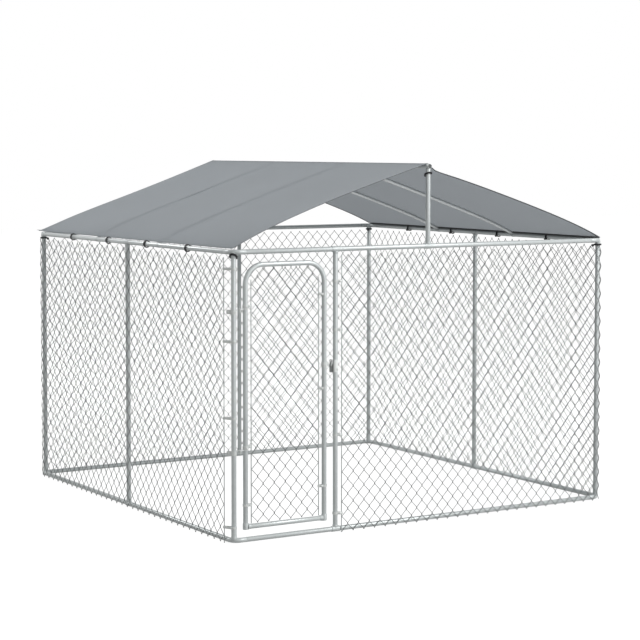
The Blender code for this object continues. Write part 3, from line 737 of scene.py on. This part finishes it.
def wire_route(first_side, low, high, half_turns):
    """Stations of one woven wire about its own middle: one leg lies outside and the next inside."""
    reach = WEAVE_PITCH / 2 + WIRE_R
    rise = (high - low) / half_turns
    depth, hook, lean = WEAVE_DEPTH, WEAVE_HOOK, WEAVE_DEPTH * KNUCKLE_LEAN
    side = first_side
    route = [(side * (reach + more), -side * lean, low - past) for more, past in reversed(KNUCKLE)]
    for turn in range(1, half_turns):
        side = -side
        z = low + turn * rise
        route.append((side * (reach - HOOK_INSET), side * depth, z - hook))
        route.append((side * reach, 0.0, z))
        route.append((side * (reach - HOOK_INSET), -side * depth, z + hook))
    side = -side
    route += [(side * (reach + more), side * lean, high + past) for more, past in KNUCKLE]
    return [Vector(station) for station in route]


def weave(shape, count, first, pitch, low, high, half_turns, parity):
    """Adds woven wires side by side, neighbours hooked into each other."""
    for start in range(min(2, count)):
        side = 1 if (start + parity) % 2 == 0 else -1
        before = set(shape.verts)
        middle = Vector((first + start * pitch, 0, 0))
        stations = [middle + station for station in wire_route(side, low, high, half_turns)]
        add_bar(shape, stations, [WIRE_R] * len(stations), WIRE_SIDES)
        verts = [vert for vert in shape.verts if vert not in before]
        faces = list({face for vert in verts for face in vert.link_faces})
        edges = list({edge for vert in verts for edge in vert.link_edges})
        unit = verts + edges + faces
        for copy in range(1, (count - start + 1) // 2):
            made = bmesh.ops.duplicate(shape, geom=unit)["geom"]
            moved = [item for item in made if isinstance(item, bmesh.types.BMVert)]
            bmesh.ops.translate(shape, verts=moved, vec=(2 * pitch * copy, 0, 0))


def coordinates(mesh):
    points = np.empty(len(mesh.vertices) * 3)
    mesh.vertices.foreach_get("co", points)
    return points.reshape(-1, 3)


def round_the_walls(points):
    """Takes (distance along the roll, depth, height) to its place outside the walls."""
    distance, depth, height = points.T
    wall = np.floor(distance / WALL_LAP)
    past = distance - wall * WALL_LAP
    angle = np.maximum(past - 2 * WALL_FLAT, 0) / WALL_BEND
    x = -WALL_FLAT - (WALL_BEND + depth) * np.cos(angle)
    y = np.minimum(past, 2 * WALL_FLAT) - WALL_FLAT + (WALL_BEND + depth) * np.sin(angle)
    turn = -wall * math.pi / 2
    turned_x = x * np.cos(turn) - y * np.sin(turn)
    turned_y = x * np.sin(turn) + y * np.cos(turn)
    return np.stack([turned_x, turned_y, height], 1)


def make_wall_fabric():
    """One roll of chain link from the hinge post round four walls to the latch post, a piece a wall."""
    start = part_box("left_mesh")[0].y + WALL_FLAT
    end = 3 * WALL_LAP + WALL_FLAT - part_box("front_mesh")[0].x
    count = round((end - start) / WEAVE_PITCH)
    pitch = (end - start) / count
    middles = [start + pitch * (number + 0.5) for number in range(count)]
    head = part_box("left_mesh")[1].z - WEAVE_MARGIN
    half_bend = WALL_BEND * math.pi / 4
    for number, wall in enumerate(("left", "back", "right", "front")):
        mine = [index for index, middle in enumerate(middles)
                if (middle + half_bend) // WALL_LAP == number]
        shape = bmesh.new()
        weave(shape, len(mine), middles[mine[0]], pitch, WALL_WEAVE_FOOT, head, WALL_HALF_TURNS, mine[0])
        piece = finished(shape, wall + "_chain_link", "kennel", wire_zinc, [wall + "_mesh"], 80)
        points = round_the_walls(coordinates(piece.data))
        piece.data.vertices.foreach_set("co", points.ravel())
        piece.data.update()


def make_gate_fabric():
    """The gate's wires, the outer two half a turn shorter to clear the bends."""
    low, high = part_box("gate_mesh")
    pitch = (high.x - low.x) / GATE_WIRES
    foot, head = low.z + WEAVE_MARGIN, high.z - WEAVE_MARGIN
    short_head = head - (head - foot) / GATE_HALF_TURNS
    short_turns = GATE_HALF_TURNS - 1
    shape = bmesh.new()
    weave(shape, GATE_WIRES - 2, low.x + 1.5 * pitch, pitch, foot, head, GATE_HALF_TURNS, 1)
    weave(shape, 1, low.x + 0.5 * pitch, pitch, foot, short_head, short_turns, 0)
    weave(shape, 1, high.x - 0.5 * pitch, pitch, foot, short_head, short_turns, GATE_WIRES - 1)
    out = Matrix.Translation((0, GATE_Y, 0)) @ Matrix.Diagonal((1, -1, 1, 1))
    bmesh.ops.transform(shape, matrix=out, verts=shape.verts)
    finished(shape, "gate_chain_link", "gate", wire_zinc, ["gate_mesh"], 80)


def make_stretcher_bars():
    """Flat bars through the last loops of the weave, with rounded corners."""
    for name, body, along in (("left", "kennel", 1), ("front", "kennel", 0),
                              ("gate_left", "gate", 0), ("gate_right", "gate", 0)):
        node = f"{name}_tension_bar"
        low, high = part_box(node)
        size = high - low
        size[along], size[1 - along] = BAR_W, BAR_T
        shape = bmesh.new()
        add_block(shape, (low + high) / 2, size, round_by=BAR_ROUND)
        finished(shape, f"{name}_stretcher_bar", body, bar_zinc, [node])


# Bands, bolts and clamps

def brace_band(shape, post, bar, outward):
    """Band round a post whose two straps hold a stretcher bar, with a bolt through the straps."""
    add_ring(shape, post, UP, band_section(BAND_R, BAND_H / 2))
    for side in (1, -1):
        start = post + outward * side * (TUBE_R + BAND_PLATE / 2)
        end = bar + outward * side * (BAND_GRIP + BAND_PLATE / 2)
        strap = end - start
        if side < 0:
            start = start + strap * INNER_STRAP_START
            strap = strap * (1 - INNER_STRAP_START)
        strap = strap + strap.normalized() * BAND_TAIL
        turn = Matrix.Rotation(math.atan2(strap.y, strap.x), 4, "Z")
        add_block(shape, start + strap / 2, (strap.length, BAND_PLATE, BAND_H), turn)
        face = Vector((-strap.y, strap.x, 0)).normalized()
        if face.dot(outward) * side < 0:
            face = -face
        bolt = start + strap * BAND_BOLT_AT + face * BAND_PLATE / 2
        if side > 0:
            add_head(shape, bolt, face, BAND_HEAD)
        else:
            add_nut(shape, bolt, face, BAND_NUT)


def make_brace_bands():
    hinge_post, latch_post = (-POST_AT, -POST_AT), (LATCH_X, -HALF)
    left_stile, right_stile = (GATE_LEFT_X, GATE_Y), (GATE_RIGHT_X, GATE_Y)
    rows = (("left_wall_bands", "kennel", hinge_post, "left", -RIGHTWARD, LEFT_WALL_BANDS),
            ("front_wall_bands", "kennel", latch_post, "front", FRONTWARD, FRONT_WALL_BANDS),
            ("gate_right_bands", "gate", right_stile, "gate_right", FRONTWARD, GATE_RIGHT_BANDS),
            ("gate_left_bands", "gate", left_stile, "gate_left", FRONTWARD, GATE_LEFT_BANDS))
    for name, body, post, bar, outward, shares in rows:
        at_bar = centre_of(f"{bar}_tension_bar")
        shape = bmesh.new()
        for share in shares:
            z = LOW_Z + RISE * share
            brace_band(shape, Vector((*post, z)), Vector((at_bar.x, at_bar.y, z)), outward)
        finished(shape, name, body, plated_steel)


def make_hinge_bolts():
    """A carriage bolt and nut through the ear of each post strap and through each gate strap."""
    ear_turn, ear_out, ear_half = math.radians(143), 0.015, 0.0045
    ahead = Vector((math.cos(ear_turn), math.sin(ear_turn), 0))
    across = Vector((-ahead.y, ahead.x, 0))
    over_middle = 0.012
    fixed, hung = bmesh.new(), bmesh.new()
    for level in ("lower", "upper"):
        post_z = centre_of(f"{level}_hinge_post_strap").z
        ear = Vector((-POST_AT, -POST_AT, post_z)) + ahead * (BAND_R + ear_out)
        add_head(fixed, ear + across * ear_half, across, HINGE_HEAD)
        add_nut(fixed, ear - across * ear_half, -across, HINGE_NUT)
        gate_z = centre_of(f"{level}_hinge_gate_strap").z + over_middle
        stile = Vector((GATE_LEFT_X, GATE_Y, gate_z))
        add_head(hung, stile + FRONTWARD * BAND_R, FRONTWARD, BAND_HEAD)
        add_nut(hung, stile + BACKWARD * BAND_R, BACKWARD, BAND_NUT)
    finished(fixed, "hinge_post_bolts", "kennel", plated_steel)
    finished(hung, "hinge_gate_bolts", "gate", plated_steel)


def make_latch_bolts():
    """The bolt through the latch's clamp and the rivet that its lever turns on."""
    under_middle, right_of_post = 0.024, 0.004
    clamp = Vector((LATCH_X + right_of_post, -HALF, centre_of("latch_collar").z - under_middle))
    shape = bmesh.new()
    add_head(shape, clamp + FRONTWARD * BAND_R, FRONTWARD, LATCH_HEAD)
    add_nut(shape, clamp + BACKWARD * BAND_R, BACKWARD, LATCH_NUT)
    finished(shape, "latch_collar_bolt", "kennel", plated_steel)
    low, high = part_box("latch_lever")
    hub = Vector((high.x - 0.008, low.y - 0.0004, (low.z + high.z) / 2))
    shape = bmesh.new()
    add_head(shape, hub, FRONTWARD, PIVOT_HEAD)
    finished(shape, "latch_pivot_rivet", "kennel", plated_steel)


def make_rafter_clamps():
    """A steel clamp round the side rail at the lower end of each rafter, with a riveted stub."""
    section = band_section(TUBE_R + CLAMP_T, CLAMP_HALF)
    stub_lean, stub_in, stub_up = math.radians(20), 0.026, 0.004
    shape = bmesh.new()
    for side_x in (-1, 1):
        for depth in ("front", "back"):
            y = centre_of(f"left_{depth}_rafter").y
            add_ring(shape, Vector((side_x * HALF, y, HIGH_Z)), BACKWARD, section)
            stub = Vector((side_x * (HALF - stub_in), y, HIGH_Z + stub_up))
            add_block(shape, stub, CLAMP_STUB, Matrix.Rotation(side_x * stub_lean, 4, "Y"))
            add_head(shape, stub - UP * CLAMP_STUB[2] / 2, -UP, CLAMP_HEAD)
    finished(shape, "rafter_clamps", "kennel", fitting_zinc)


# Canopy

def resting_height(out):
    """Height of the cloth's lower face along a rafter, rounded over the ridge pole."""
    z = canopy_underside(out)
    if out < POLE_ROUND_R * math.sin(PITCH) * 1.6:
        over_pole = math.sqrt(max(POLE_ROUND_R ** 2 - out ** 2, 0))
        z = min(z, RIDGE_Z + over_pole + 0.0004)
    return z


def sag_share(past_rafter):
    """Share of the full sag at a distance past a rafter: none on it, and almost none at the gable."""
    soft = math.hypot(past_rafter, RAFTER_SOFTNESS) - RAFTER_SOFTNESS
    if past_rafter < 0:
        return math.sin(math.pi * soft / RAFTER_Y / 2)
    return max(math.sin(math.pi * min(soft / (HALF - RAFTER_Y), 1.0)), 0)


def gable_lift(x, y, share):
    """How far the cloth near a gable edge stands over or under the line of the rafters."""
    nearness = max(0.0, 1 - (HALF - abs(y)) / GABLE_WIDTH) ** 2
    if x > 0:
        fall = (1 - math.exp(-max(x - POLE_ROUND_R, 0) / 0.025)) * math.exp(-x / 0.33)
        return -nearness * fall * (FRONT_RIGHT_DROP if y < 0 else BACK_RIGHT_DROP)
    bulge = BACK_LEFT_BULGE if y > 0 else FRONT_LEFT_BULGE
    return nearness * bulge * math.sin(math.pi * share)


def wrinkle_height(y, share):
    """Long wrinkles just in front of the back left rafter, strongest halfway down it."""
    past = y - RAFTER_Y + WRINKLE_AHEAD
    wave = math.cos(past * 75) * math.exp(-(past / WRINKLE_WIDTH) ** 2)
    fade = math.exp(-((share - 0.5) / 0.34) ** 2)
    beside = min(abs(y - RAFTER_Y) / 0.02, 1.0)
    return WRINKLE_HEIGHT * (wave - 0.5) * fade * beside


def ripple_height(x, y):
    """Small unevenness of the cloth, pressed flat over the rafters and less at the gable edges."""
    pressed = math.exp(-((abs(y) - RAFTER_Y) / 0.05) ** 2)
    wide = noise.noise(Vector((x * 2.1, y * 2.6, 0.3))) * RIPPLE_HEIGHT * (1 - pressed)
    fine = noise.noise(Vector((x * 6.0, y * 5.0, 4.1))) * FINE_RIPPLE_HEIGHT
    edge = min(1.0, (HALF - abs(y) + 0.02) / 0.25)
    return (wide + fine) * max(edge, 0.15)


def cloth_height(x, y):
    """Height of the cloth's lower face where it is stretched over the frame."""
    out, past_rafter = abs(x), abs(y) - RAFTER_Y
    share = min(out / HALF, 1.0)
    belly = math.sin(math.pi * share) ** 0.8
    z = resting_height(out) - SAG * belly * sag_share(past_rafter)
    z += gable_lift(x, y, share)
    if x < 0 < y:
        z += wrinkle_height(y, share)
    into_x, into_y = -x - HALF + CORNER_W, y - HALF + CORNER_W
    if into_x > 0 and into_y > 0:
        z += BACK_LEFT_CORNER_LIFT * (into_x * into_y / CORNER_W ** 2) ** 2
    z += ripple_height(x, y) * belly
    if abs(past_rafter) < RAFTER_R:
        over_rafter = math.sqrt(RAFTER_R ** 2 - past_rafter ** 2) - RAFTER_R
        z = max(z, canopy_underside(out) - 0.0003 + over_rafter)
    return z


def eave_reach(x, y):
    """How far the side hems stand out: evenly between the corners, whose tips are drawn out."""
    tip = max(0.0, (abs(y) - (HALF - CORNER_W)) / CORNER_W) ** 2
    return EAVE_EDGE + CORNER_TIPS[-1 if x < 0 else 1, -1 if y < 0 else 1] * tip


def spread(x, y):
    """Place of a point of the cut once the cloth is stretched."""
    far = 1 + max(y, 0) / HALF ** 2 * RIDGE_REACH * math.exp(-abs(x) / RIDGE_REACH_WIDTH)
    return x * (HALF + eave_reach(x, y)) / HALF, y * far


def cut_lines(half_x, half_y):
    """Extra lines through the cut, along its hems, its ridge and its rafters."""
    lines = []
    for axis, half in ((RIGHTWARD, half_x), (BACKWARD, half_y)):
        for side in (-1, 1):
            lines += [(axis * side * (half - inset), axis) for inset in (HEM_W, HEM_W - 0.0015, 0.0022)]
    lines += [(RIGHTWARD * place, RIGHTWARD) for place in (-0.009, -0.0055, 0.0055, 0.009)]
    for beside in (-0.018, -0.012, -0.006, 0, 0.006, 0.012, 0.018):
        lines += [(BACKWARD * side * (RAFTER_Y + beside), BACKWARD) for side in (-1, 1)]
    return lines


def make_canopy():
    """One cut of cloth, stretched over the pole, the rafters and the side rails."""
    half_x, half_y = HALF, HALF - GABLE_SHORT
    shape = bmesh.new()
    bmesh.ops.create_grid(shape, x_segments=CANOPY_CELLS, y_segments=CANOPY_CELLS, size=1,
                          matrix=Matrix.Diagonal((half_x, half_y, 1, 1)))
    for place, normal in cut_lines(half_x, half_y):
        geometry = [*shape.verts, *shape.edges, *shape.faces]
        bmesh.ops.bisect_plane(shape, geom=geometry, plane_co=place, plane_no=normal, dist=0.00001)
    cut = shape.loops.layers.uv.new("cut")
    for face in shape.faces:
        for loop in face.loops:
            x, y, _ = loop.vert.co
            loop[cut].uv = ((x + half_x) / math.cos(PITCH), y + half_y)
    for vert in shape.verts:
        x, y, _ = vert.co
        inset = min(half_x - abs(x), half_y - abs(y))
        raised = HEM_STEP if inset < HEM_W - 0.0007 else 0.0
        if inset < 0.001:
            raised = 0.0002
        x, y = spread(x, y)
        vert.co = x, y, cloth_height(x, y) + 0.0002 + raised
    piece = finished(shape, "canopy_cloth", "kennel", canopy_canvas, ["canopy"], 60)
    if piece.data.polygons[0].normal.z < 0:
        piece.data.flip_normals()
    thickness = piece.modifiers.new("cloth thickness", "SOLIDIFY")
    thickness.thickness = CANOPY_T
    thickness.offset = 1
    make_binding()


def make_binding():
    """Dark tape folded round a cord under the cloth's edge; at the eaves it lies inside the rails. On
    the right half it is drawn thicker, as painted shade under the hem.
    """
    half_x, half_y = HALF - BINDING_EAVE_INSET, HALF - GABLE_SHORT - BINDING_GABLE_INSET
    corners = [Vector((-half_x, -half_y)), Vector((half_x, -half_y)),
               Vector((half_x, half_y)), Vector((-half_x, half_y))]
    edge, radii = [], []
    for number, (start, end) in enumerate(zip(corners, corners[1:] + corners[:1])):
        eave = number % 2 == 1
        right_r = RIGHT_EAVE_BINDING_AND_SHADE_R if eave else RIGHT_GABLE_BINDING_AND_SHADE_R
        for step in range(BINDING_CELLS):
            x, y = spread(*(start + (end - start) * (step / BINDING_CELLS)))
            radius = right_r if x > 0 else LEFT_BINDING_R
            top = HIGH_Z + BINDING_EAVE_TOP if eave else cloth_height(x, y) + 0.0004
            edge.append(Vector((x, y, top - radius)))
            radii.append(radius)
    shape = bmesh.new()
    add_bar(shape, edge + edge[:1], radii + radii[:1], CORD_SIDES)
    return finished(shape, "canopy_binding", "kennel", binding_tape)


def add_ball(balls, place):
    bmesh.ops.create_uvsphere(balls, u_segments=20, v_segments=12, radius=BALL_R,
                              matrix=Matrix.Translation(place))


def rail_loop(cords, balls, side_x, y):
    """Doubled elastic through the hem and round a side rail, held by a ball on the inside."""
    axis = Vector((side_x * HALF, y, HIGH_Z))
    apart, gap, slack = RAIL_CORD_R - 0.0002, 0.0014, 0.0016
    for way in (1, -1):
        path = []
        for degrees in range(0, 375, 15):
            angle = math.radians(degrees)
            radius = TUBE_R + RAIL_CORD_R + gap + slack * abs(math.sin(angle / 2))
            path.append(axis + Vector((-side_x * radius * math.cos(angle), way * apart,
                                       radius * math.sin(angle))))
        add_bar(cords, path, [RAIL_CORD_R] * len(path), CORD_SIDES)
    ball_low = 0.016 if side_x > 0 else 0.009
    add_ball(balls, axis + Vector((-side_x * 0.0255, 0, -ball_low)))


def post_loop(cords, balls, post, outward, loop):
    """Doubled elastic that hangs from the cloth and grips the post under it."""
    drop, tilt, cord_r = loop
    across = Vector((-outward.y, outward.x, 0))
    steps, lift = 24, cord_r * 1.8
    for strand in range(2):
        path = []
        for step in range(steps + 1):
            angle = math.radians(360) * step / steps
            around = outward * math.cos(angle) + across * math.sin(angle)
            rise = tilt * (0.5 + 0.5 * math.cos(angle)) ** 1.5
            path.append(post + around * POST_LOOP_R + UP * (strand * lift + rise - drop))
        add_bar(cords, path, [cord_r] * len(path), CORD_SIDES)
    add_ball(balls, post - outward * 0.0330 - UP * (drop + 0.004))


def make_ties():
    """Elastic loops with balls: four on each side rail, one on each corner post and ridge post."""
    cords, balls = bmesh.new(), bmesh.new()
    for side_x in (-1, 1):
        for share in TIE_SHARES:
            rail_loop(cords, balls, side_x, HALF * (2 * share - 1))
    for side_x, side_y in ((-1, -1), (-1, 1), (1, -1), (1, 1)):
        outward = Vector((side_x, side_y, 0)).normalized()
        loop = GATE_CORNER_LOOP if side_x == side_y == -1 else CORNER_LOOP
        post_loop(cords, balls, Vector((side_x * POST_AT, side_y * POST_AT, HIGH_Z)), outward, loop)
    for outward in (FRONTWARD, BACKWARD):
        post_loop(cords, balls, outward * HALF + UP * RIDGE_Z, outward, RIDGE_LOOP)
    finished(cords, "canopy_elastic_loops", "kennel", elastic)
    finished(balls, "canopy_tie_balls", "kennel", ball_plastic)


# Studio

def white_behind(nodes, plain_level, seen_level):
    """A level that the camera and mirror-like rays see, and another that lights the object."""
    camera, glossy, clear = (nodes.node("ShaderNodeLightPath", {}, {}, f"Is {kind} Ray")
                             for kind in ("Camera", "Glossy", "Transmission"))
    seen = camera.math("MAXIMUM", camera, camera.math("MAXIMUM", glossy, clear))
    return seen * (seen_level - plain_level) + plain_level


def make_stage():
    shape = bmesh.new()
    bmesh.ops.create_grid(shape, x_segments=1, y_segments=1, size=FLOOR_HALF)
    mesh = bpy.data.meshes.new("floor")
    shape.to_mesh(mesh)
    shape.free()
    floor = bpy.data.objects.new("floor", mesh)
    bpy.context.scene.collection.objects.link(floor)
    finish = Finish("floor_white", (FLOOR_ALBEDO,) * 3, 1.0)
    finish.set("Specular IOR Level", 0.0)
    finish.set("Emission Color", (1, 1, 1, 1))
    finish.set("Emission Strength", white_behind(finish, 0.0, FLOOR_GLOW))
    mesh.materials.append(finish.material)


def make_light():
    world = bpy.data.worlds.new("studio")
    bpy.context.scene.world = world
    world.use_nodes = True
    sky = Nodes(world.node_tree)
    background = sky.tree.nodes["Background"]
    background.inputs["Color"].default_value = (1, 1, 1, 1)
    sky.join(background.inputs["Strength"], white_behind(sky, SKY_LIGHT, SKY_SEEN))
    for name, place, size, power in LAMPS:
        lamp = bpy.data.lights.new(name, "AREA")
        lamp.energy = power
        lamp.size = size
        obj = bpy.data.objects.new(name, lamp)
        obj.location = place
        obj.rotation_euler = (LAMP_AIM - Vector(place)).to_track_quat("-Z", "Y").to_euler()
        bpy.context.scene.collection.objects.link(obj)


def make_camera():
    data = bpy.data.cameras.new("camera")
    data.lens = CAMERA_LENS
    data.sensor_width = 36
    data.shift_x, data.shift_y = CAMERA_SHIFT
    camera = bpy.data.objects.new("camera", data)
    camera.location = CAMERA_AT
    camera.rotation_euler = (math.radians(90 - CAMERA_DOWN_DEG), 0, math.radians(CAMERA_TURN_DEG))
    bpy.context.scene.collection.objects.link(camera)
    bpy.context.scene.camera = camera
    bpy.context.scene.view_settings.view_transform = "Standard"


def paint_cad_pieces():
    finishes = {"tube": tube_zinc, "fitting": fitting_zinc, "wire": wire_zinc,
                "hardware": plated_steel, "canvas": canopy_canvas}
    for row in frame["record"]["subparts"]:
        node = frame["nodes"][row["node"]]
        node.data.materials.clear()
        node.data.materials.append(finishes[row["material_slot"]])
    # The lever gets steel painted dark as shade.
    frame["nodes"]["latch_lever"].data.materials[0] = lever_shade_steel
    # The collar's plate is painted dark as shade.
    frame["nodes"]["latch_collar"].data.materials[0] = latch_steel()


paint_cad_pieces()
make_straight_tubes()
make_fittings()
make_rafters()
make_ridge_plugs()
make_gate_frame()
make_gate_rail()
make_wall_fabric()
make_gate_fabric()
make_stretcher_bars()
make_brace_bands()
make_hinge_bolts()
make_latch_bolts()
make_rafter_clamps()
make_canopy()
make_ties()
make_stage()
make_light()
make_camera()
